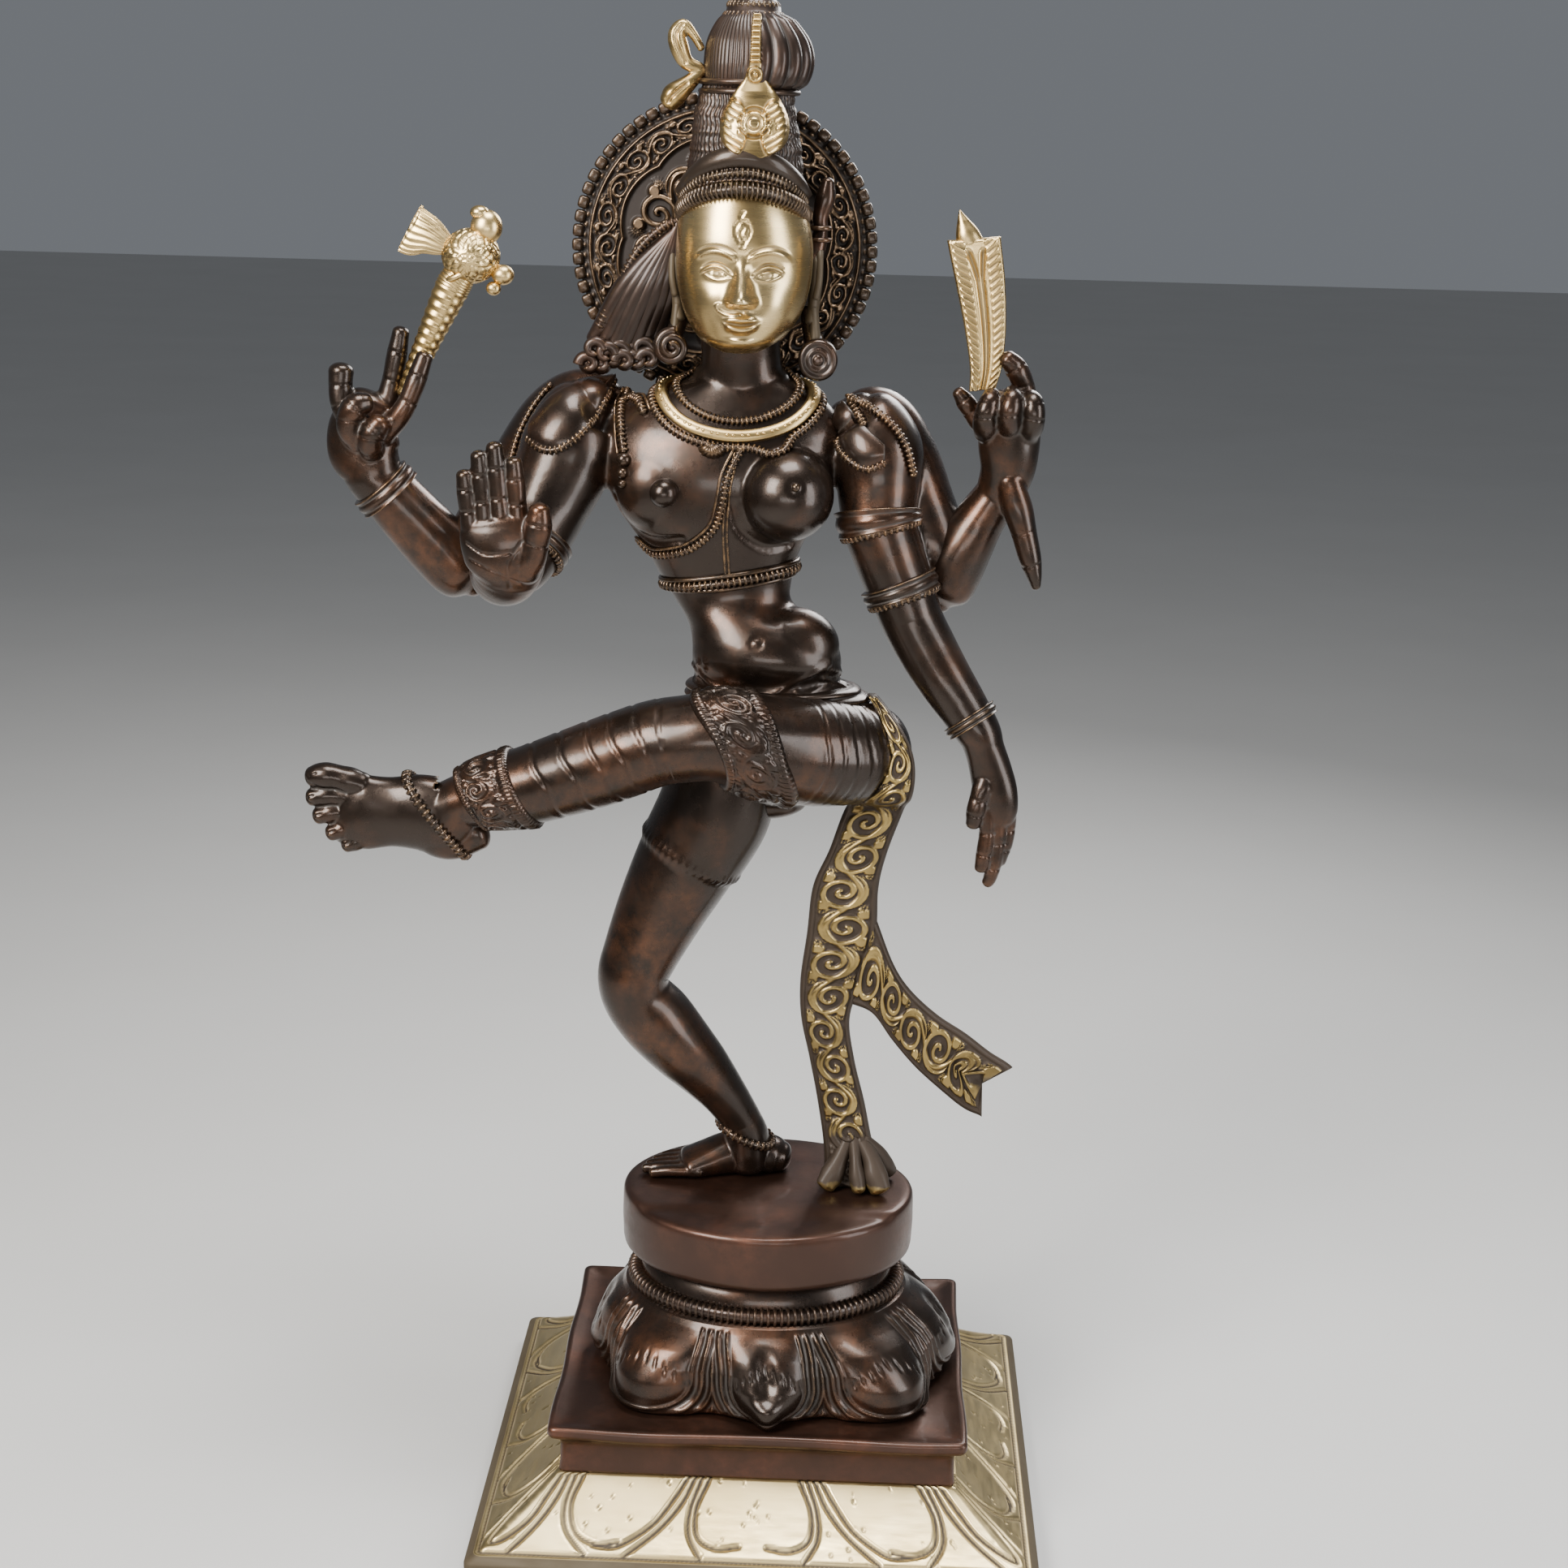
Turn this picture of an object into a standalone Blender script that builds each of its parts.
"""A four-armed dancing nataraja in patinated brass on a lotus seat, a stepped plate and a flared base.

The statue is an assembly of castings that are brazed together, with one bolt through the base.
Lengths in the tables are millimetres; place() turns them into metres. The figure's tables count
height from the top of the drum that it stands on, so the whole figure follows FIGURE_HEIGHT.
The figure faces -Y, +X is to the right of someone who looks at it, and +Z is up.
"""
import math

import bmesh
import bpy
from mathutils import Matrix, Vector

MM = 0.001
GAP = 0.3  # clearance between two castings that touch

# ---- driving dimensions, in millimetres ----
FIGURE_HEIGHT = 399.0      # drum top to the tip of the finial
FIGURE_TABLE_HEIGHT = 399.0  # height at which the figure's tables are drawn

SKIRT_FOOT_W = 189.0       # outer width of the base where it rests
SKIRT_FOOT_D = 168.0
SKIRT_FOOT_H = 8.5         # upright lip under the flare
SKIRT_RIM_SETBACK = 3.2    # from the lip in to the lower edge of the flare
SKIRT_HEIGHT = 26.5
SKIRT_WALL = 4.0

PLINTH_W = 140.0           # stepped plate
PLINTH_D = 119.0
PLINTH_OVERHANG = 3.6      # plate edge beyond its riser
PLINTH_PLATE_H = 5.2
PLINTH_RISER_H = 11.8

LOTUS_HEIGHT = 42.5        # plate top to the underside of the drum
LOTUS_EDGE_MARGIN = 7.0    # petal tips stop this far inside the plate's edge
PETAL_HEIGHT = 28.5        # plate top to the ledge above the petals
NECK_INSET = 7.0           # neck behind the face of the drum
BEAD_RING_RADIUS = 3.0
DRUM_HALF_W = 49.6
DRUM_HALF_D = 39.6
DRUM_HEIGHT = 21.3

HALO_RADIUS = 47.2
HALO_THICKNESS = 4.2
HALO_KNOBS = 44

STUD_RADIUS = 4.0
STUD_IN_DRUM = 12.0
WASHER_RADIUS = 10.0
WASHER_H = 1.6
NUT_RADIUS = 7.6
NUT_H = 6.4
STUD_BELOW_NUT = 3.0

# ---- what follows from them ----
SCALE = FIGURE_HEIGHT / FIGURE_TABLE_HEIGHT
PLINTH_Z = SKIRT_HEIGHT + GAP
PLATE_TOP = PLINTH_Z + PLINTH_RISER_H + PLINTH_PLATE_H
LOTUS_Z = PLATE_TOP + GAP
DRUM_Z = LOTUS_Z + LOTUS_HEIGHT + GAP
SEAT_Z = DRUM_Z + DRUM_HEIGHT
NECK_W = DRUM_HALF_W - NECK_INSET
NECK_D = DRUM_HALF_D - NECK_INSET
LEDGE_W = NECK_W + 2.0 * BEAD_RING_RADIUS
LEDGE_D = NECK_D + 2.0 * BEAD_RING_RADIUS

UP = Vector((0.0, 0.0, 1.0))
BACK = Vector((0.0, 1.0, 0.0))
RIGHT = Vector((1.0, 0.0, 0.0))

DARK = ("dark_patina", (0.060, 0.032, 0.022), 0.42, 0.85)
BRASS = ("polished_brass", (0.80, 0.62, 0.32), 0.28, 1.0)
RELIEF = ("gilt_relief", (0.42, 0.27, 0.10), 0.40, 0.95)
STEEL = ("plain_steel", (0.45, 0.45, 0.46), 0.40, 1.0)


def clear_scene():
    for old in list(bpy.data.objects):
        bpy.data.objects.remove(old, do_unlink=True)


def collection(name):
    made = bpy.data.collections.new(name)
    bpy.context.scene.collection.children.link(made)
    return made


clear_scene()
STATUE = collection("nataraja_statue")
SCRATCH = collection("cutters")


def place(x, y, z):
    """A point of the figure's tables, in metres."""
    return Vector((x * SCALE, y * SCALE, SEAT_Z + z * SCALE)) * MM


def ground(x, y, z):
    """A point of the base, in metres."""
    return Vector((x, y, z)) * MM


def finish_of(finish):
    name, colour, roughness, metallic = finish
    found = bpy.data.materials.get(name)
    if found:
        return found
    made = bpy.data.materials.new(name)
    made.use_nodes = True
    shader = made.node_tree.nodes["Principled BSDF"]
    shader.inputs["Base Color"].default_value = (*colour, 1.0)
    shader.inputs["Roughness"].default_value = roughness
    shader.inputs["Metallic"].default_value = metallic
    return made


def to_object(name, work, finish=DARK, home=None):
    """Turns a bmesh into an object of triangles, facing outwards."""
    bmesh.ops.recalc_face_normals(work, faces=work.faces)
    bmesh.ops.triangulate(work, faces=work.faces)
    mesh = bpy.data.meshes.new(name)
    work.to_mesh(mesh)
    work.free()
    made = bpy.data.objects.new(name, mesh)
    (home or STATUE).objects.link(made)
    mesh.materials.append(finish_of(finish))
    mesh.shade_smooth()
    mesh.set_sharp_from_angle(angle=math.radians(40.0))
    return made


def skin_rings(work, rings, closed=False):
    """Joins rings of points with quads, and caps the ends unless the rings close on themselves."""
    rows = [[work.verts.new(point) for point in ring] for ring in rings]
    count = len(rows[0])
    pairs = list(zip(rows, rows[1:]))
    if closed:
        pairs.append((rows[-1], rows[0]))
    for lower, upper in pairs:
        for i in range(count):
            j = (i + 1) % count
            work.faces.new((lower[i], lower[j], upper[j], upper[i]))
    if not closed:
        work.faces.new(list(reversed(rows[0])))
        work.faces.new(rows[-1])


def tangents(points):
    last = len(points) - 1
    return [(points[min(i + 1, last)] - points[max(i - 1, 0)]).normalized() for i in range(last + 1)]


def ellipse_rings(stations, sides, alongs, thick=BACK):
    """The rings of a lofted body: each station is x, y, z, half width across, half thickness."""
    rings = []
    for along, station in zip(alongs, stations):
        deep = (thick - along * thick.dot(along)).normalized()
        across = deep.cross(along)
        ring = []
        for i in range(sides):
            turn = 2.0 * math.pi * i / sides
            side = across * math.cos(turn) * station[3]
            ring.append(place(*station[:3]) + (side + deep * math.sin(turn) * station[4]) * MM * SCALE)
        rings.append(ring)
    return rings


def shift(ring, along, distance):
    return [point + along * distance * MM for point in ring]


def loft(name, stations, finish=DARK, sides=12, thick=BACK, home=None, follows=None):
    """A body skinned over the rings of its stations; it may follow on from the end of a limb's table."""
    alongs = tangents([place(*station[:3]) for station in stations])
    if follows:
        alongs[0] = tangents([place(*station[:3]) for station in follows])[-1]
    rings = ellipse_rings(stations, sides, alongs, thick)
    if follows:
        rings[0] = shift(rings[0], alongs[0], 0.5 * GAP)
    work = bmesh.new()
    skin_rings(work, rings)
    return to_object(name, work, finish, home)


def ball(name, centre, radii, finish=DARK, home=None, rings=8, segments=12):
    work = bmesh.new()
    bmesh.ops.create_uvsphere(work, u_segments=segments, v_segments=rings, radius=1.0)
    size = Vector(radii) * MM * SCALE
    bmesh.ops.scale(work, verts=work.verts, vec=size)
    bmesh.ops.translate(work, verts=work.verts, vec=place(*centre))
    return to_object(name, work, finish, home)


def hoop(name, centre, axis, wide, deep, tube, finish=DARK, segments=20, sides=6):
    """An elliptical ring round an axis; wide and deep are its two half sizes."""
    along = Vector(axis).normalized()
    depth = (BACK - along * BACK.dot(along)).normalized()
    across = depth.cross(along)
    rings = []
    for i in range(segments):
        turn = 2.0 * math.pi * i / segments
        outward = across * math.cos(turn) * wide + depth * math.sin(turn) * deep
        spine = place(*centre) + outward * MM * SCALE
        outward.normalize()
        ring = []
        for j in range(sides):
            around = 2.0 * math.pi * j / sides
            ring.append(spine + (outward * math.cos(around) + along * math.sin(around)) * tube * MM * SCALE)
        rings.append(ring)
    work = bmesh.new()
    skin_rings(work, rings, closed=True)
    return to_object(name, work, finish)


def slab(name, outline, y_mid, y_half, finish=DARK, home=None):
    """A flat outline in x and z, thickened along y; y_mid and y_half are functions of height."""
    rings = []
    for side in (-1.0, 1.0):
        rings.append([place(x, y_mid(z) + side * y_half(z), z) for x, z in outline])
    work = bmesh.new()
    skin_rings(work, rings)
    return to_object(name, work, finish, home)


def cylinder(name, radius, low, high, centre=(0.0, 0.0), finish=STEEL, segments=16, home=None):
    work = bmesh.new()
    bmesh.ops.create_cone(work, cap_ends=True, segments=segments, radius1=radius * MM,
                          radius2=radius * MM, depth=(high - low) * MM)
    bmesh.ops.translate(work, verts=work.verts, vec=ground(*centre, 0.5 * (low + high)))
    return to_object(name, work, finish, home)


# ---- cutting and joining ----
def evaluated_copy(source):
    graph = bpy.context.evaluated_depsgraph_get()
    return bpy.data.meshes.new_from_object(source.evaluated_get(graph))


def keep_largest(target):
    """Leaves the biggest piece of a mesh, counted over faces that share an edge."""
    work = bmesh.new()
    work.from_mesh(target.data)
    bmesh.ops.remove_doubles(work, verts=work.verts, dist=1e-6)
    left = set(work.faces)
    islands = []
    while left:
        island = []
        stack = [left.pop()]
        while stack:
            face = stack.pop()
            island.append(face)
            for edge in face.edges:
                for other in edge.link_faces:
                    if other in left:
                        left.remove(other)
                        stack.append(other)
        islands.append(island)
    islands.sort(key=lambda island: sum(face.calc_area() for face in island))
    for island in islands[:-1]:
        bmesh.ops.delete(work, geom=island, context="FACES")
    bmesh.ops.triangulate(work, faces=work.faces)
    work.to_mesh(target.data)
    work.free()


def apply_boolean(target, tool, operation):
    step = target.modifiers.new(operation.lower(), "BOOLEAN")
    step.operation = operation
    step.solver = "EXACT"
    step.object = tool
    mesh = evaluated_copy(target)
    target.modifiers.remove(step)
    old = target.data
    target.data = mesh
    bpy.data.meshes.remove(old)


def drop(thing):
    mesh = thing.data
    bpy.data.objects.remove(thing, do_unlink=True)
    bpy.data.meshes.remove(mesh)


def grown(source, amount):
    """A copy of a piece, grown along its normals, to cut its neighbours with."""
    work = bmesh.new()
    work.from_mesh(source.data)
    work.normal_update()
    moves = []
    for vert in work.verts:
        lean = sum((face.normal.dot(vert.normal) for face in vert.link_faces)) / len(vert.link_faces)
        moves.append(vert.normal * amount * MM / max(lean, 0.5))
    for vert, move in zip(work.verts, moves):
        vert.co += move
    return to_object(source.name + "_room", work, home=SCRATCH)


def boxes_meet(first, second):
    corners = [[Vector(c) for c in thing.bound_box] for thing in (first, second)]
    for axis in range(3):
        lows = [min(c[axis] for c in group) for group in corners]
        highs = [max(c[axis] for c in group) for group in corners]
        if lows[0] > highs[1] + 0.001 or lows[1] > highs[0] + 0.001:
            return False
    return True


def carve(target, *neighbours):
    """Cuts the room for each neighbour, with the gap, out of a piece."""
    bpy.context.view_layer.update()
    for neighbour in neighbours:
        if boxes_meet(target, neighbour):
            room = grown(neighbour, GAP)
            apply_boolean(target, room, "DIFFERENCE")
            drop(room)
            bpy.context.view_layer.update()
    keep_largest(target)
    return target


def fuse(target, *others):
    """Casts several shapes as one."""
    for other in others:
        apply_boolean(target, other, "UNION")
        drop(other)
    keep_largest(target)
    return target


def cut_below(target, height):
    """Slices a piece flat at a height in metres and closes it there."""
    work = bmesh.new()
    work.from_mesh(target.data)
    everything = list(work.verts) + list(work.edges) + list(work.faces)
    cut = bmesh.ops.bisect_plane(work, geom=everything, plane_co=(0.0, 0.0, height),
                                 plane_no=UP, clear_inner=True)
    edges = [part for part in cut["geom_cut"] if isinstance(part, bmesh.types.BMEdge)]
    bmesh.ops.contextual_create(work, geom=edges)
    bmesh.ops.recalc_face_normals(work, faces=work.faces)
    work.to_mesh(target.data)
    work.free()
    return target


def digit(name, path, sides=6):
    """A finger or toe: path holds x, y, z, radius; its tip is rounded off."""
    stations = [(*point[:3], point[3], point[3]) for point in path]
    before = Vector(path[-2][:3])
    tip = Vector(path[-1][:3])
    beyond = tip + (tip - before).normalized() * 0.6 * path[-1][3]
    stations.append((*beyond, 0.45 * path[-1][3], 0.45 * path[-1][3]))
    return loft(name, stations, sides=sides, home=SCRATCH)


# ---- the base ----
def rounded_rectangle(half_w, half_d, radius, steps=3):
    points = []
    for corner, (sx, sy) in enumerate(((1, 1), (-1, 1), (-1, -1), (1, -1))):
        for i in range(steps + 1):
            turn = 0.5 * math.pi * (corner + i / steps)
            x = sx * (half_w - radius) + radius * math.cos(turn)
            y = sy * (half_d - radius) + radius * math.sin(turn)
            points.append((x, y))
    return points


def stack(name, levels, finish, home=None, radius=2.5):
    """Rounded rectangles one above the other: each level is half width, half depth, height."""
    rings = []
    for half_w, half_d, height in levels:
        ring = rounded_rectangle(half_w, half_d, radius)
        rings.append([ground(x, y, height) for x, y in ring])
    work = bmesh.new()
    skin_rings(work, rings)
    return to_object(name, work, finish, home)


def bore(target, low, high):
    """The clearance hole for the stud."""
    tool = cylinder("stud_room", STUD_RADIUS + GAP, low, high, home=SCRATCH)
    apply_boolean(target, tool, "DIFFERENCE")
    drop(tool)


def flare_levels(inset, lowest):
    """The skirt's outer form, or its hollow when inset is the wall."""
    foot_w = 0.5 * SKIRT_FOOT_W - inset
    foot_d = 0.5 * SKIRT_FOOT_D - inset
    top_w = 0.5 * PLINTH_W - PLINTH_OVERHANG + 0.6 - inset
    top_d = 0.5 * PLINTH_D - PLINTH_OVERHANG + 0.6 - inset
    top = SKIRT_HEIGHT - inset
    levels = [(foot_w, foot_d, lowest), (foot_w, foot_d, SKIRT_FOOT_H - 0.4 * inset)]
    low = SKIRT_FOOT_H + 1.4 - 0.4 * inset
    rim_w = foot_w - SKIRT_RIM_SETBACK
    rim_d = foot_d - SKIRT_RIM_SETBACK
    for share, rise in ((0.0, 0.0), (0.5, 0.42), (1.0, 1.0)):
        width = rim_w + (top_w - rim_w) * share
        depth = rim_d + (top_d - rim_d) * share
        levels.append((width, depth, low + (top - low) * rise))
    return levels


def base_skirt():
    made = stack("base_skirt", flare_levels(0.0, 0.0), BRASS)
    hollow = stack("skirt_hollow", flare_levels(SKIRT_WALL, -5.0), BRASS, SCRATCH)
    apply_boolean(made, hollow, "DIFFERENCE")
    drop(hollow)
    bore(made, SKIRT_HEIGHT - 2.0 * SKIRT_WALL, SKIRT_HEIGHT + 5.0)
    return made


def stepped_plinth():
    half_w = 0.5 * PLINTH_W
    half_d = 0.5 * PLINTH_D
    riser_w = half_w - PLINTH_OVERHANG
    riser_d = half_d - PLINTH_OVERHANG
    shoulder = PLINTH_Z + PLINTH_RISER_H
    levels = [(riser_w, riser_d, PLINTH_Z), (riser_w, riser_d, shoulder),
              (half_w, half_d, shoulder + 1.2), (half_w, half_d, PLATE_TOP)]
    made = stack("stepped_plinth", levels, DARK, radius=1.6)
    bore(made, PLINTH_Z - 5.0, PLATE_TOP + 5.0)
    return made


def petal_ring(half_w, half_d, power, lobe, height, count=40):
    """A superellipse with eight soft lobes, for the lotus."""
    ring = []
    for i in range(count):
        turn = 2.0 * math.pi * i / count
        swell = 1.0 + lobe * math.cos(8.0 * turn)
        x = math.copysign(abs(math.cos(turn)) ** (2.0 / power), math.cos(turn)) * half_w * swell
        y = math.copysign(abs(math.sin(turn)) ** (2.0 / power), math.sin(turn)) * half_d * swell
        ring.append(ground(x, y, height))
    return ring


def lotus_pedestal():
    """Eight petals that swell out over the plate, a ledge for the beaded ring, and a neck."""
    tip_w = 0.5 * PLINTH_W - LOTUS_EDGE_MARGIN
    tip_d = 0.5 * PLINTH_D - LOTUS_EDGE_MARGIN
    rows = ((0.0, 0.97, 3.4, 0.030), (0.12, 1.0, 3.4, 0.034), (0.36, 0.96, 3.2, 0.026),
            (0.66, 0.72, 2.7, 0.014), (0.88, 0.32, 2.2, 0.005), (1.0, 0.0, 2.0, 0.0))
    rings = []
    for rise, share, power, lobe in rows:
        half_w = LEDGE_W + (tip_w - LEDGE_W) * share
        half_d = LEDGE_D + (tip_d - LEDGE_D) * share
        rings.append(petal_ring(half_w, half_d, power, lobe, LOTUS_Z + PETAL_HEIGHT * rise))
    for height in (PETAL_HEIGHT, LOTUS_HEIGHT):
        rings.append(petal_ring(NECK_W, NECK_D, 2.0, 0.0, LOTUS_Z + height))
    work = bmesh.new()
    skin_rings(work, rings)
    made = to_object("lotus_pedestal", work)
    bore(made, LOTUS_Z - 5.0, LOTUS_Z + LOTUS_HEIGHT + 5.0)
    return made


def beaded_ring():
    """The roped ring that lies on the ledge round the neck."""
    tube = BEAD_RING_RADIUS
    height = LOTUS_Z + PETAL_HEIGHT + GAP + tube
    profile = []
    for i in range(6):
        turn = math.pi * (1.0 + i / 3.0)
        out = GAP + tube + tube * math.cos(turn)
        profile.append(petal_ring(NECK_W + out, NECK_D + out, 2.0, 0.0, height + tube * math.sin(turn)))
    work = bmesh.new()
    skin_rings(work, profile, closed=True)
    return to_object("beaded_ring", work)


def drum():
    rings = []
    rows = ((0.0, -1.2), (1.6, 0.0), (0.55 * DRUM_HEIGHT, 0.6), (DRUM_HEIGHT - 2.0, 0.0), (DRUM_HEIGHT, -1.6))
    for rise, out in rows:
        rings.append(petal_ring(DRUM_HALF_W + out, DRUM_HALF_D + out, 2.0, 0.0, DRUM_Z + rise))
    work = bmesh.new()
    skin_rings(work, rings)
    made = to_object("drum", work)
    bore(made, DRUM_Z - 5.0, DRUM_Z + STUD_IN_DRUM)
    return made


def fasteners():
    ceiling = SKIRT_HEIGHT - SKIRT_WALL
    washer_top = ceiling - GAP
    nut_top = washer_top - WASHER_H - GAP
    cylinder("fixing_stud", STUD_RADIUS, nut_top - NUT_H - STUD_BELOW_NUT, DRUM_Z + STUD_IN_DRUM - GAP)
    washer = cylinder("fixing_washer", WASHER_RADIUS, washer_top - WASHER_H, washer_top, segments=24)
    bore(washer, washer_top - WASHER_H - 2.0, washer_top + 2.0)
    nut = cylinder("fixing_nut", NUT_RADIUS, nut_top - NUT_H, nut_top, segments=6)
    bore(nut, nut_top - NUT_H - 2.0, nut_top + 2.0)


# ---- the figure's tables: x, y, z above the drum, half width across, half thickness ----
PELVIS = [
    (-6, 0, 131.5, 20, 11), (-2, 1, 137, 30, 16), (2.5, 2, 144, 35, 18), (4.5, 2, 154, 36, 19.5),
    (4, 1, 164, 34, 19), (0, -1, 174, 29, 17.5), (-4.5, -2, 181.8, 23.6, 15.5),
]
TORSO = [
    (-4.5, -2, 181.8, 23.6, 15.5), (-4.5, -4, 188, 24.2, 17.5), (-5.5, -4, 194, 23.4, 17.2),
    (-9, -3, 199.5, 21.3, 15.5), (-15.5, -1, 206, 19, 13.6), (-18, 0, 212, 20.6, 13.8),
    (-20, 0, 224, 25.5, 15.5), (-21, 0, 236, 33, 17.5), (-21, 0, 248, 37.5, 18),
    (-20, 1, 259, 38.5, 16.5), (-18, 2, 268, 33, 13.5), (-16, 2, 274, 24, 11), (-15, 2, 277.6, 15.5, 10),
]
HEAD = [
    (-15, 1.5, 277.6, 15, 10.5), (-15, 1, 284, 13.2, 11), (-15.4, 0, 289, 13.4, 13.5),
    (-15, -2, 293, 16.4, 17), (-14.6, -2.5, 300, 19.4, 19), (-14.4, -2, 309, 21.2, 19.8),
    (-14.4, -2, 319, 21.4, 20), (-15, -1.5, 328.6, 20, 19.4),
]
CROWN = [
    (-15.2, -1.5, 328.6, 19.6, 19.8), (-15.2, -1.5, 332, 20.2, 21), (-15, -1.3, 338, 19, 20.2),
    (-14.8, -0.5, 342, 18, 19.2), (-14.8, 0, 350, 17, 17.5), (-15.2, 0, 358, 15.6, 15.2),
    (-14.6, 0, 364.6, 13.4, 13.2),
]
BUN = [
    (-14.6, 0, 364.6, 13, 13), (-12.8, 0, 368, 15, 14.8), (-12.3, 0, 374, 15.7, 15.4),
    (-12.4, 0, 380, 14.6, 14.2), (-12.8, 0, 385, 11.6, 11.4), (-13.2, 0, 388.4, 8.4, 8.4),
]
FINIAL = [
    (-13.3, 0, 388.4, 7.8, 7.8), (-13.3, 0, 390, 9.2, 9.2), (-13.3, 0, 392, 7.4, 7.4),
    (-13.3, 0, 393.2, 4.2, 4.2), (-13.3, 0, 395, 5, 5), (-13.3, 0, 397.4, 3.4, 3.4), (-13.3, 0, 399, 0.8, 0.8),
]
STANDING_LEG = [
    (-18, 0, 150, 17, 17.4), (-21, 0, 135, 18.2, 18), (-30, 0, 117, 17, 17), (-38, 0, 100.5, 15, 15.5),
    (-45, -1, 84, 12.8, 13.6), (-47.4, -2, 76, 12, 13), (-45.6, -1.5, 68, 11.8, 12.6),
    (-39, 0, 59.5, 12.6, 13), (-31.5, 2, 50, 11.6, 12.5), (-24, 4, 41, 10, 10.8), (-16.5, 6, 31, 8, 8.8),
    (-10.5, 8, 21, 7, 7.6), (-8, 9, 14.5, 7.4, 8),
]
STANDING_KNEE = 5
RAISED_LEG = [
    (34, 2, 158, 16, 17), (24, -8, 158.5, 16.8, 17.5), (11, -17, 160.7, 17.6, 18), (-3, -25, 164, 16.6, 17),
    (-13, -29.5, 167.4, 15.2, 16), (-20, -31, 168.4, 14.4, 15.4), (-28, -31, 167.4, 13.8, 15),
    (-39, -30, 165, 13.8, 14.5), (-56, -28, 157.8, 14, 14), (-77, -26, 149.7, 12.9, 13),
    (-93, -25, 145.5, 10.9, 11.2), (-101, -25, 142.4, 8.8, 9.4),
]
RAISED_KNEE = 5
FRONT_RIGHT_ARM = [
    (-62, 3, 268, 7, 7), (-66, 3, 264.5, 12.6, 12.6), (-69, 2, 256, 15.4, 15.4), (-72, 0, 247, 15.2, 15.2),
    (-77, -5, 235, 13.6, 13.8), (-81, -11, 224, 12.6, 12.8), (-85, -17, 214.5, 11.2, 11.6),
    (-87, -20.5, 209, 9.6, 10),
]
FRONT_RIGHT_FOREARM = [
    (-88, -17.5, 205.6, 5, 5), (-88, -22, 206.4, 9.4, 9.4), (-87.2, -28, 211.5, 10.4, 10.2),
    (-85.4, -33.5, 219, 9.8, 9), (-84.2, -37, 226.5, 9.2, 7.8),
]
REAR_RIGHT_ARM = [
    (-56, 14, 265, 8, 8), (-65, 14, 265.5, 12.6, 11), (-74, 14, 259.5, 13.6, 12), (-84.5, 13, 245, 12.8, 12),
    (-94, 11, 230, 12, 11.8), (-100.5, 9, 219, 11.2, 11), (-103.5, 8, 213, 9.6, 9.6),
]
REAR_RIGHT_FOREARM = [
    (-101, 8.5, 207.5, 5, 5), (-105, 7.8, 211, 10, 10), (-112, 6, 219, 10.8, 10.4), (-122, 3, 230.6, 10, 9.6),
    (-132, 0.5, 242.4, 9, 8.8),
]
FRONT_LEFT_ARM = [
    (22, 1, 268, 7, 7), (26, 1, 264.5, 12, 12), (29, 0, 256, 14.6, 14.6), (29.6, -1, 247, 13.6, 14),
    (30.4, -4, 234, 12, 12.4), (34, -5, 223, 11.4, 11.8), (38, -6, 213, 10.8, 11), (42, -7.2, 203, 10, 10.2),
    (47.4, -9.4, 193.6, 9.6, 9.6), (53, -12, 185, 9, 9), (59, -14, 176.6, 8.2, 8.2), (64.6, -16, 168.6, 7.2, 7.4),
]
FRONT_LEFT_ELBOW = 7
REAR_LEFT_ARM = [
    (18, 14, 262, 8, 8), (28, 14, 262.5, 12.4, 11), (36, 14, 252, 12.8, 11.5), (43, 13, 237, 12, 11.5),
    (48.5, 11, 224.5, 11.4, 11.4), (51.4, 9.6, 216.4, 9.8, 9.8),
]
REAR_LEFT_FOREARM = [
    (50, 9, 206, 5, 5), (51.6, 9, 210, 9.6, 9.6), (54.4, 8.4, 217, 10.4, 10.4), (58.4, 7, 225.6, 9.6, 9.6),
    (63, 6, 234, 8.2, 8.2), (67, 5, 240.6, 7.4, 7.4),
]


LIMB_RINGS = {}


def run(name, table, start=0, end=None, meets_start=False, meets_end=False, sides=12, level=False):
    """One casting of a limb, from one station to another; its rings are kept for its bands."""
    last = len(table) - 1 if end is None else end
    alongs = [UP] * len(table) if level else tangents([place(*station[:3]) for station in table])
    rings = ellipse_rings(table, sides, alongs)[start:last + 1]
    if meets_start:
        rings[0] = shift(rings[0], alongs[start], 0.5 * GAP)
    if meets_end:
        rings[-1] = shift(rings[-1], alongs[last], -0.5 * GAP)
    LIMB_RINGS[name] = (start, rings)
    work = bmesh.new()
    skin_rings(work, rings)
    return to_object(name, work)


def ring_at(rings, where, lift):
    """A ring between two of a limb's rings, lifted off its surface by a length in millimetres."""
    low = min(int(where), len(rings) - 2)
    share = where - low
    points = [a.lerp(b, share) for a, b in zip(rings[low], rings[low + 1])]
    centre = sum(points, Vector()) / len(points)
    return [point + (point - centre).normalized() * lift * MM for point in points]


def band(name, limb, start, end, height, finish=DARK, fit=1.15 * GAP):
    """A raised band that hugs a limb between two fractional stations of the limb's table."""
    first, rings = LIMB_RINGS[limb]
    inside = [i for i in range(len(rings)) if start - first < i < end - first]
    stops = [start - first] + (inside or [0.5 * (start + end) - first]) + [end - first]
    profile = [ring_at(rings, where, fit) for where in reversed(stops)]
    for where in stops:
        edge = where in (stops[0], stops[-1])
        profile.append(ring_at(rings, where, fit + height * SCALE * (0.55 if edge else 1.0)))
    work = bmesh.new()
    skin_rings(work, profile, closed=True)
    return to_object(name, work, finish)


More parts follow.
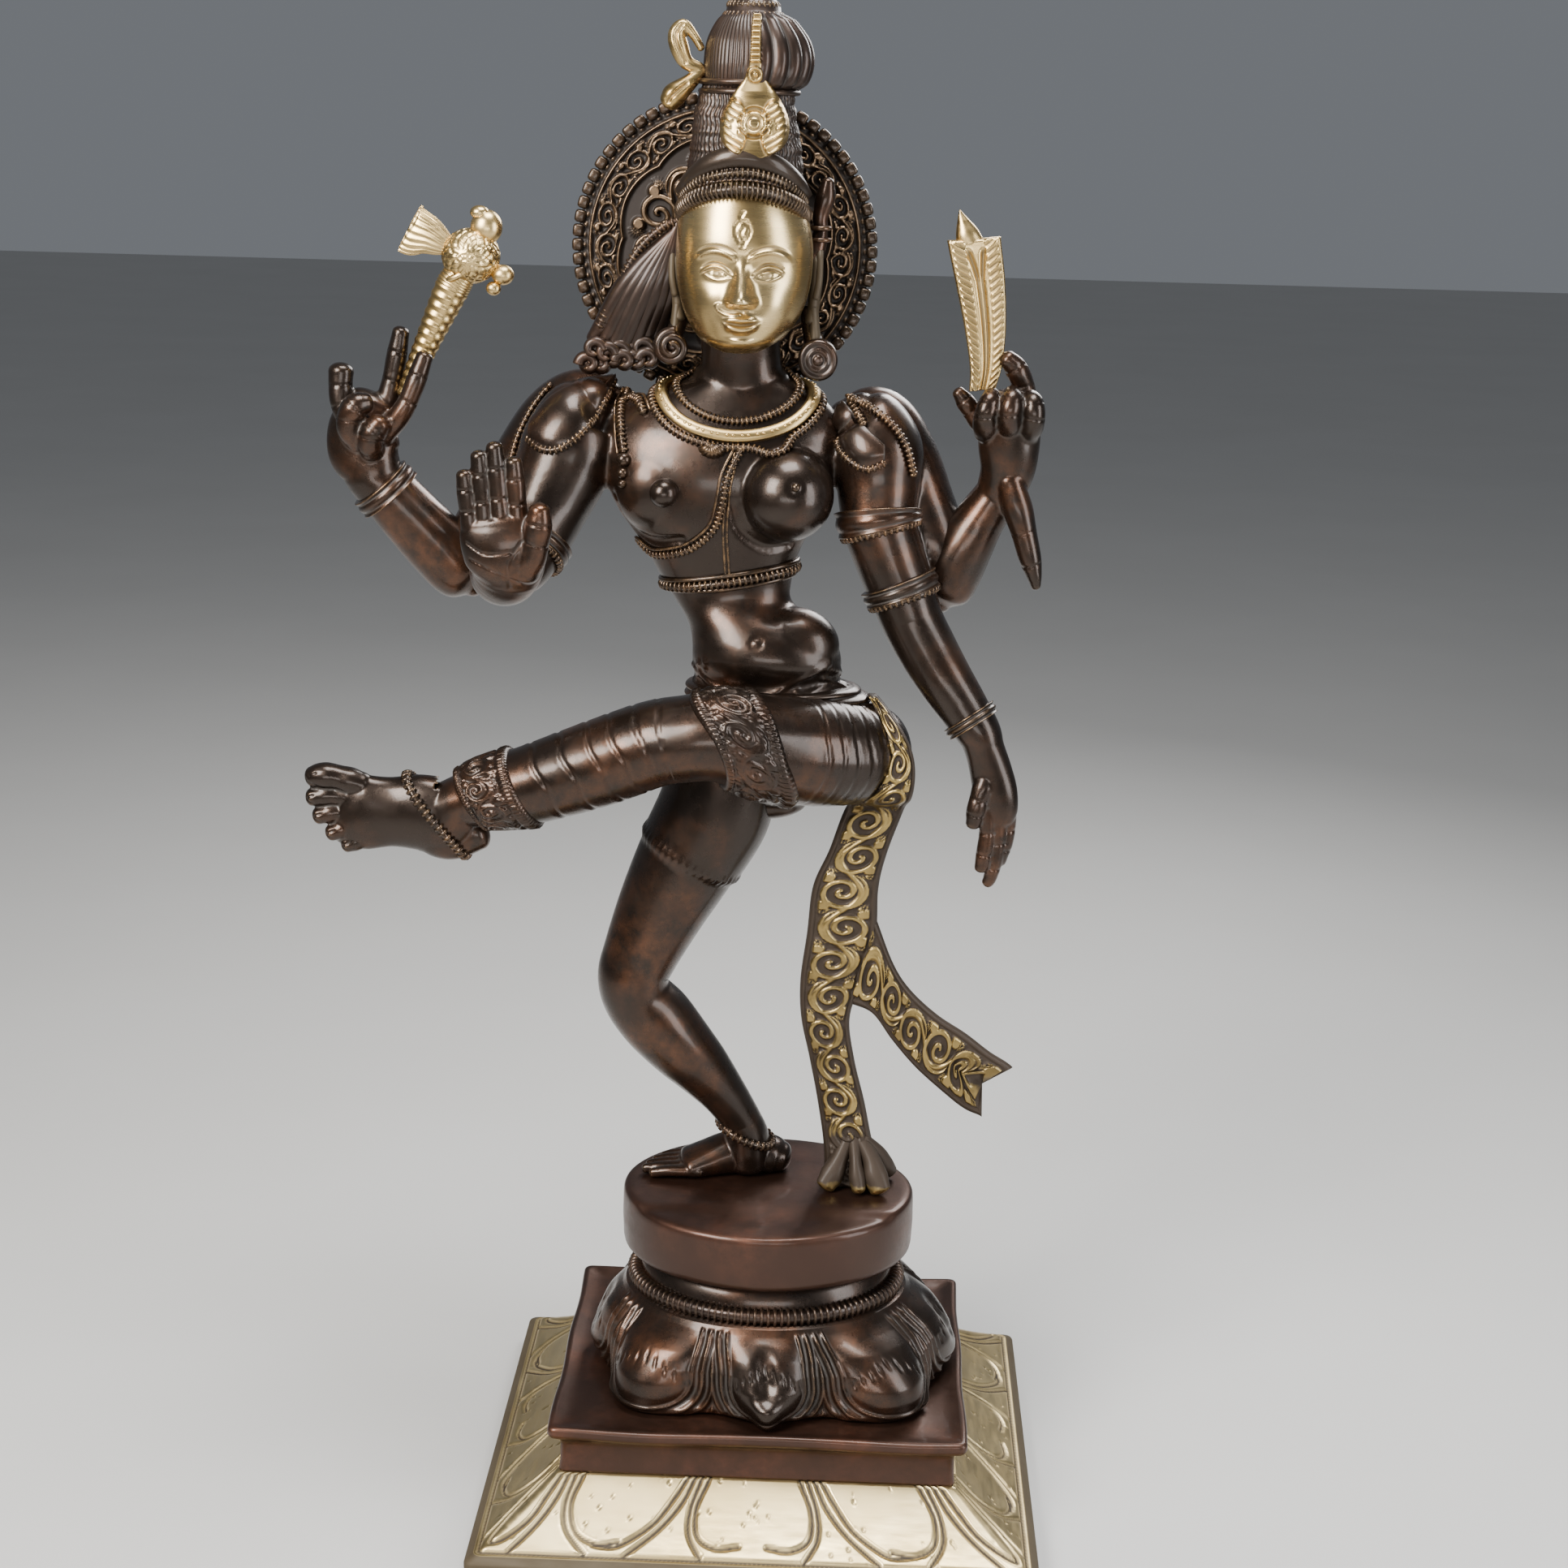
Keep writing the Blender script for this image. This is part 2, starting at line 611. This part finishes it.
def trunk():
    torso = run("torso", TORSO, meets_start=True, meets_end=True, sides=16, level=True)
    bust = ball("bust", (1.0, -11.5, 243.0), (14.4, 14.6, 14.6), home=SCRATCH)
    chest = ball("chest", (-40.0, -6.5, 242.0), (15.0, 12.5, 14.0), home=SCRATCH)
    fuse(torso, bust, chest)
    pelvis = run("pelvis", PELVIS, meets_end=True, sides=16, level=True)
    head = run("head", HEAD, meets_start=True, meets_end=True, sides=16, level=True)
    crown = run("crown", CROWN, meets_start=True, meets_end=True, sides=16, level=True)
    bun = run("hair_bun", BUN, meets_start=True, meets_end=True, sides=16, level=True)
    finial = run("finial", FINIAL, meets_start=True, level=True)
    return torso, pelvis, head, crown, bun, finial


def standing_leg(pelvis):
    thigh = run("standing_thigh", STANDING_LEG, 0, STANDING_KNEE, meets_end=True, sides=14)
    carve(thigh, pelvis)
    shin = run("standing_shin", STANDING_LEG, STANDING_KNEE, meets_start=True, meets_end=True)
    sole = loft("standing_foot", [
        (7, 13, 5, 4.2, 4.4), (3, 13, 6.4, 7.4, 7.2), (-4, 12.2, 7, 8, 7.6), (-14, 10.6, 6.6, 8, 7.4),
        (-24, 8.6, 4.6, 8.6, 5.8), (-32, 7, 3, 9, 4.6), (-38, 6, 2, 8.6, 3.8), (-42.6, 5.4, 1.6, 6.6, 2.8),
    ], thick=UP)
    ankle = loft("ankle", [STANDING_LEG[-1], (-7.2, 9.4, 10, 7.6, 8.4), (-7, 9.6, 6, 7.4, 7.6)],
                 home=SCRATCH, follows=STANDING_LEG)
    fuse(sole, ankle)
    carve(sole, shin)
    cut_below(sole, (SEAT_Z + GAP) * MM)
    return thigh, shin, sole


def raised_leg(pelvis, standing_thigh):
    thigh = run("raised_thigh", RAISED_LEG, 0, RAISED_KNEE, meets_end=True, sides=14)
    carve(thigh, pelvis, standing_thigh)
    shin = run("raised_shin", RAISED_LEG, RAISED_KNEE, meets_start=True, meets_end=True)
    foot = loft("raised_foot", [
        RAISED_LEG[-1], (-107, -25, 137.6, 12.6, 8.4), (-115, -25.4, 138.4, 12.6, 7.8),
        (-124, -26, 138.4, 11.6, 6.6), (-133, -27, 138.4, 12.6, 5.6), (-140, -27, 140, 12.4, 4.4),
    ], follows=RAISED_LEG)
    toes = [
        [(-136, -27, 149, 4.2), (-143, -27, 151, 4.2), (-150.5, -27, 150.8, 4.0)],
        [(-136, -27, 144, 3.0), (-143, -27, 144.6, 3.0), (-150.4, -27, 144, 2.8)],
        [(-136, -27, 139, 2.9), (-143, -27, 138.6, 2.9), (-148.4, -27, 137, 2.7)],
        [(-134, -27, 134, 2.7), (-139, -27, 132.6, 2.7), (-143.4, -27, 131, 2.5)],
        [(-130, -27, 130, 2.6), (-134, -27, 128.6, 2.6), (-137.6, -27, 127.2, 2.4)],
    ]
    fuse(foot, *[digit(f"toe_{i}", toe) for i, toe in enumerate(toes)])
    return thigh, shin, foot


def arms(torso):
    upper = run("front_right_upper_arm", FRONT_RIGHT_ARM, meets_end=True)
    carve(upper, torso)
    fore = run("front_right_forearm", FRONT_RIGHT_FOREARM, meets_end=True)
    carve(fore, upper)
    left = run("front_left_upper_arm", FRONT_LEFT_ARM, 0, FRONT_LEFT_ELBOW, meets_end=True)
    carve(left, torso)
    left_fore = run("front_left_forearm", FRONT_LEFT_ARM, FRONT_LEFT_ELBOW, meets_start=True, meets_end=True)
    rear = run("rear_right_upper_arm", REAR_RIGHT_ARM, meets_end=True)
    carve(rear, torso, upper, fore)
    rear_fore = run("rear_right_forearm", REAR_RIGHT_FOREARM, meets_end=True)
    carve(rear_fore, rear, upper, fore)
    rear_left = run("rear_left_upper_arm", REAR_LEFT_ARM, meets_end=True)
    carve(rear_left, torso, left, left_fore)
    rear_left_fore = run("rear_left_forearm", REAR_LEFT_FOREARM, meets_end=True)
    carve(rear_left_fore, rear_left, left, left_fore)
    return upper, fore, left, left_fore, rear, rear_fore, rear_left, rear_left_fore


def blessing_hand(forearm):
    """The front right hand, held up with its palm to the viewer."""
    wrist = FRONT_RIGHT_FOREARM[-1]
    palm = loft("front_right_hand", [
        wrist, (-84, -38, 232, 11.4, 6.6), (-85, -38.6, 238, 12.6, 5.6), (-86.4, -39, 243.5, 12, 4.4),
    ], follows=FRONT_RIGHT_FOREARM)
    fingers = [
        [(-95, -39, 240, 2.7), (-96, -39.4, 246, 2.6), (-96.6, -40, 251.6, 2.2)],
        [(-90.4, -39, 241, 2.8), (-91.4, -39.4, 249, 2.7), (-92, -40, 257.4, 2.3)],
        [(-85.4, -39, 241, 2.9), (-86.4, -39.4, 250, 2.8), (-87.2, -40, 259, 2.4)],
        [(-80.6, -39, 240, 2.9), (-81, -39.4, 248, 2.8), (-81.4, -40, 255, 2.4)],
        [(-78, -38.6, 233, 4.6), (-75, -41, 238.4, 4.0), (-74, -42.4, 243.4, 3.2)],
    ]
    return fuse(palm, *[digit(f"finger_{i}", finger) for i, finger in enumerate(fingers)])


def axe_hand():
    wrist = REAR_RIGHT_FOREARM[-1]
    palm = loft("rear_right_hand", [
        wrist, (-135, 0, 248.6, 11.4, 8), (-136, 0, 255, 11.8, 7.6), (-134.6, 0, 262, 10.4, 6.4),
        (-132, 0, 266.5, 8, 5),
    ], follows=REAR_RIGHT_FOREARM)
    fingers = [
        [(-138, -2, 260, 4.0), (-141.4, -3, 268, 3.8), (-141.6, -2, 275.4, 3.8)],
        [(-136, -5, 256, 4.4), (-137, -8, 262, 4.2), (-134.6, -8, 268, 3.8)],
        [(-129, 1, 262, 3.6), (-125.6, 1.6, 275, 3.4), (-123, 1.6, 288.4, 2.8)],
        [(-127, -4, 258, 3.4), (-119.6, -5.4, 268, 3.2), (-114.6, -4, 281, 2.8)],
    ]
    return fuse(palm, *[digit(f"finger_{i}", finger) for i, finger in enumerate(fingers)])


def tablet_hand():
    wrist = REAR_LEFT_FOREARM[-1]
    palm = loft("rear_left_hand", [
        wrist, (70.4, 3, 247, 8.2, 7.2), (71, 1, 256, 9.4, 7.6), (70.6, 0, 266, 10, 8), (70, 0, 272.4, 8.4, 6.6),
    ], follows=REAR_LEFT_FOREARM)
    fingers = [
        [(64, -4, 264, 3.6), (62.6, -8.4, 270.6, 3.6), (63.6, -7, 274, 3.0)],
        [(70.4, -5, 265, 3.6), (70, -9, 271.6, 3.6), (70, -7.6, 275, 3.0)],
        [(76.4, -4, 264, 3.6), (77.6, -8.4, 270.6, 3.6), (77, -7, 273.6, 3.0)],
        [(75, 2, 268, 3.8), (74, 1, 278, 3.6), (69.4, -2, 285.4, 3.2)],
        [(62, 2, 266, 3.0), (56.6, 1, 272, 2.8), (54.4, 0, 275, 2.0)],
        [(71, -2, 246, 4.2), (75.6, -3, 234, 4.4), (79, -3.6, 223, 3.2), (81, -4, 215.6, 1.6)],
    ]
    return fuse(palm, *[digit(f"finger_{i}", finger) for i, finger in enumerate(fingers)])


def hanging_hand():
    wrist = FRONT_LEFT_ARM[-1]
    palm = loft("front_left_hand", [
        wrist, (67.6, -16.8, 160.4, 6.6, 6), (70.4, -17.6, 152, 7.2, 5.2), (71.6, -18, 144, 6.8, 4.6),
        (71.4, -18, 139.6, 5.6, 3.8),
    ], follows=FRONT_LEFT_ARM)
    fingers = [
        [(67.6, -19, 146, 2.8), (68.4, -19.6, 134, 2.6), (67.4, -19.6, 124, 2.2)],
        [(71, -18, 144, 3.0), (72, -18, 131, 2.8), (69.8, -18, 119.4, 2.3)],
        [(74.4, -17, 146, 2.8), (75, -16.6, 135, 2.6), (73.4, -16.4, 126, 2.2)],
        [(67.4, -19, 154, 3.4), (64.8, -21, 146, 3.0), (63.8, -21.6, 139.6, 2.4)],
    ]
    return fuse(palm, *[digit(f"finger_{i}", finger) for i, finger in enumerate(fingers)])


def battle_axe(hand):
    body = ball("battle_axe", (-100.2, 0.0, 313.4), (9.4, 9.0, 8.8), finish=BRASS)
    shaft = loft("axe_shaft", [(-120.4, -0.6, 272, 3.0, 3.0), (-114.6, 0, 286, 3.8, 3.8), (-106.6, 0, 303, 5.4, 4.6),
                               (-103, 0, 309, 5.2, 4.6)], home=SCRATCH, sides=10)
    blade = slab("axe_blade", [(-106.6, 313), (-119, 314.4), (-117.6, 322), (-111.6, 329.8), (-107.4, 326.6),
                               (-104.6, 318)], lambda z: 0.0, lambda z: 1.7, home=SCRATCH)
    crest = ball("axe_crest", (-95.4, 0.0, 323.6), (5.2, 5.2, 5.0), home=SCRATCH, rings=6, segments=8)
    beak = ball("axe_beak", (-90.6, 0.0, 307.8), (3.8, 3.8, 3.6), home=SCRATCH, rings=6, segments=8)
    fuse(body, shaft, blade, crest, beak)
    return carve(body, hand)


def ribbed_tablet(hand):
    made = slab("ribbed_tablet", [(57.4, 277.6), (65.4, 276), (69.2, 291), (64.4, 325.2), (58.4, 324.2), (52.3, 331.6),
                                  (48.4, 323), (47.2, 322)], lambda z: -0.5, lambda z: 2.8, finish=BRASS)
    return carve(made, hand)


def ribbon(name, edges, middle, half, finish=RELIEF):
    """A cloth tail from pairs of points on its two edges; middle and half give its place in depth."""
    rings = []
    for left, right in edges:
        ring = []
        for share, side in ((0.0, 0.0), (0.14, -1.0), (0.86, -1.0), (1.0, 0.0), (0.86, 1.0), (0.14, 1.0)):
            x = left[0] + (right[0] - left[0]) * share
            z = left[1] + (right[1] - left[1]) * share
            ring.append(place(x, middle(z) + side * half(z), z))
        rings.append(ring)
    work = bmesh.new()
    skin_rings(work, rings)
    return to_object(name, work, finish)


def sash(*neighbours):
    """The scarf: a long tail down to the drum and a side tail, brazed along one seam."""
    seam_low = (28.0, 67.2)
    seam_high = (36.2, 97.8)

    def middle(z):
        return 5.5 - 9.5 * min(max(z, 0.0), 150.0) / 150.0

    def half(z):
        return 2.6 + 5.0 * max(0.0, 1.0 - z / 26.0)

    def beside_seam(z):
        share = (z - seam_low[1]) / (seam_high[1] - seam_low[1])
        return seam_low[0] + (seam_high[0] - seam_low[0]) * share - 2.0 * GAP

    long_edges = [(19.4, 41.6, GAP / SCALE), (18.8, 36.2, 14), (16.2, 32.4, 31), (13, 28.4, 47), (9.8, 26.4, 62),
                  (9.2, beside_seam(76), 76), (11, beside_seam(93), 93), (14.4, 34.4, 110), (17.5, 36.2, 125),
                  (22, 39.4, 140), (26, 41.2, 157), (28.6, 39.0, 170), (30.6, 36.0, 177)]
    long_tail = ribbon("sash_long_tail", [((left, z), (right, z)) for left, right, z in long_edges], middle, half)
    side_edges = [(seam_low, seam_high), ((34, 64.2), (40.4, 83)), ((41, 54.6), (46.6, 73.4)),
                  ((49, 45), (56, 64.6)), ((57.8, 36.7), (66, 58)), ((68.2, 29.6), (77.8, 48.9))]
    side_tail = ribbon("sash_side_tail", side_edges, middle, lambda z: 2.2)
    carve(long_tail, *neighbours)
    return long_tail, side_tail


def halo(head, crown):
    """The pierced-looking disc behind the head, with a lug that is brazed to the head."""
    centre = (-22.0, 316.5)
    front = 20.6
    rings = []
    for y, radius in ((front, HALO_RADIUS - 1.5), (front, HALO_RADIUS), (front + HALO_THICKNESS, HALO_RADIUS)):
        ring = []
        for i in range(2 * HALO_KNOBS):
            turn = 2.0 * math.pi * i / (2 * HALO_KNOBS)
            reach = radius + (1.9 if i % 2 == 0 and radius == HALO_RADIUS else 0.0)
            ring.append(place(centre[0] + reach * math.cos(turn), y + (0.8 if radius == HALO_RADIUS else 0.0),
                              centre[1] + reach * math.sin(turn)))
        rings.append(ring)
    work = bmesh.new()
    skin_rings(work, rings)
    disc = to_object("halo_disc", work)
    lug = loft("halo_lug", [(-16, 12, 322, 6, 8), (-16, 23, 322, 6, 8)], thick=UP, home=SCRATCH)
    fuse(disc, lug)
    return carve(disc, head, crown)


def head_ornaments(head, crown, bun, torso, disc, *shoulders):
    plaque = slab("crown_plaque", [(-11, 347.4), (-3.4, 350), (-1.6, 356), (-4, 362), (-9.4, 368.4), (-9.6, 384),
                                   (-13, 384), (-13.4, 368.4), (-19, 362), (-21.4, 356), (-18.6, 350)],
                  lambda z: -16.2, lambda z: 4.4, finish=BRASS)
    carve(plaque, crown, bun)
    crescent = loft("crescent_ornament", [(-27, -2, 366, 2.6, 2.2), (-32.4, -3, 360.6, 3.2, 2.4),
                                          (-37.4, -3, 363, 3.4, 2.4), (-36, -3, 369.6, 2.6, 2.4),
                                          (-32.8, -3, 376.6, 2.6, 2.4), (-35, -3, 383.6, 3.0, 2.4),
                                          (-38.6, -3, 381.6, 2.4, 2.2), (-39.4, -3, 379, 1.4, 1.4)],
                    finish=BRASS, sides=8)
    carve(crescent, bun, crown)
    disc_ring = loft("right_ear_disc", [(8.4, -6.4, 284.2, 5.9, 5.9), (8.4, -2, 284.4, 6.1, 6.1),
                                        (7, 2, 288, 4.0, 4.0), (2.4, 5, 297, 3.0, 3.0)], thick=RIGHT, sides=14)
    carve(disc_ring, head, torso, *shoulders)
    coil = loft("left_ear_coil", [(-37.2, -5.4, 287, 4.8, 4.8), (-37.2, -1.4, 287.2, 5, 5),
                                  (-36, 2, 290.6, 3.6, 3.6), (-32.6, 4, 299, 2.8, 2.8)], thick=RIGHT)
    carve(coil, head, torso, *shoulders)
    flower = loft("ear_flower", [(5, 2, 311, 3.4, 3), (8.8, 3, 318, 3.4, 3.2), (10.6, 4, 326, 2.6, 2.8),
                                 (11.6, 4, 333, 3.6, 3.2), (12.2, 4, 339.6, 1.6, 1.6)], sides=8)
    carve(flower, head, crown, disc)
    tassel = slab("hair_tassel", [(-33.0, 325.6), (-38.6, 325.6), (-48, 305), (-57, 292), (-64.8, 286), (-64.4, 280),
                                  (-56, 277.6), (-48.6, 279.6), (-43.4, 279.4), (-37, 292), (-32.6, 306)],
                  lambda z: 12.8, lambda z: 5.6)
    carve(tassel, head, crown, torso, disc, coil, *shoulders)


def body_ornaments(torso, pelvis, head, neighbours):
    """Collar, bands, shoulder pads, armlets, anklets and the waist cloth."""
    arms_now, thighs, feet, hands = neighbours
    collar = hoop("necklace", (-16.6, -1.0, 268.0), (0.0, -0.62, 1.0), 24.0, 19.6, 4.2, segments=28)
    carve(collar, torso, head, arms_now[0], arms_now[2])
    band("chest_band", "torso", 4.3, 5.3, 2.4)
    belt = band("waist_cloth", "pelvis", 4.7, 5.7, 4.0)
    for name, limb, rear in (("right_epaulette", arms_now[0], arms_now[4]),
                             ("left_epaulette", arms_now[2], arms_now[6])):
        carve(band(name, limb.name, 0.75, 2.3, 2.6, fit=3.0 * GAP), torso, collar, rear)
    bands = (("front_right_armlet", "front_right_upper_arm", 5.0, 5.5, 2.4),
             ("front_left_armlet_upper", "front_left_upper_arm", 3.7, 4.2, 2.6),
             ("front_left_armlet_lower", "front_left_upper_arm", 5.7, 6.3, 2.4),
             ("front_left_bangle", "front_left_forearm", 10.3, 10.8, 1.9),
             ("rear_right_bangle", "rear_right_forearm", 3.5, 3.9, 1.9),
             ("raised_knee_band", "raised_thigh", 3.4, 4.8, 1.6),
             ("raised_shin_cuff", "raised_shin", 9.4, 10.8, 1.6))
    for name, limb, start, end, height in bands:
        ring = band(name, limb, start, end, height)
        carve(ring, *[other for other in (*arms_now, *thighs, pelvis, *hands) if other.name != limb])
    carve(belt, thighs[1], bpy.data.objects["raised_knee_band"])
    anklet = hoop("standing_anklet", (-8.4, 9.4, 15.4), (0.42, 0.1, 1.0), 9.6, 9.6, 2.2, segments=18)
    carve(anklet, feet[0], thighs[2])
    raised = hoop("raised_anklet", (-108.4, -25.2, 138.6), (1.0, 0.0, 0.55), 12.8, 9.0, 2.2, segments=18)
    carve(raised, feet[1], thighs[3])


def figure():
    torso, pelvis, head, crown, bun, finial = trunk()
    standing_thigh, standing_shin, standing_foot = standing_leg(pelvis)
    raised_thigh, raised_shin, raised_foot = raised_leg(pelvis, standing_thigh)
    carve(raised_shin, standing_thigh, pelvis)
    limbs = arms(torso)
    hands = (blessing_hand(limbs[1]), axe_hand(), tablet_hand(), hanging_hand())
    battle_axe(hands[1])
    ribbed_tablet(hands[2])
    disc = halo(head, crown)
    legs = (standing_thigh, raised_thigh, standing_shin, raised_shin)
    body_ornaments(torso, pelvis, head, (limbs, legs, (standing_foot, raised_foot), hands))
    sash(pelvis, raised_thigh, standing_thigh, bpy.data.objects["waist_cloth"])
    head_ornaments(head, crown, bun, torso, disc, limbs[0], limbs[2], limbs[4], limbs[6])


def centre_on_origin():
    """Moves the statue so that the origin is the bottom centre of the box round all of it."""
    corners = [vert.co for piece in STATUE.objects for vert in piece.data.vertices]
    middle = Vector([0.5 * (min(c[i] for c in corners) + max(c[i] for c in corners)) for i in (0, 1)] + [0.0])
    for piece in STATUE.objects:
        piece.data.transform(Matrix.Translation(-middle))


base_skirt()
stepped_plinth()
lotus_pedestal()
beaded_ring()
drum()
fasteners()
figure()
centre_on_origin()
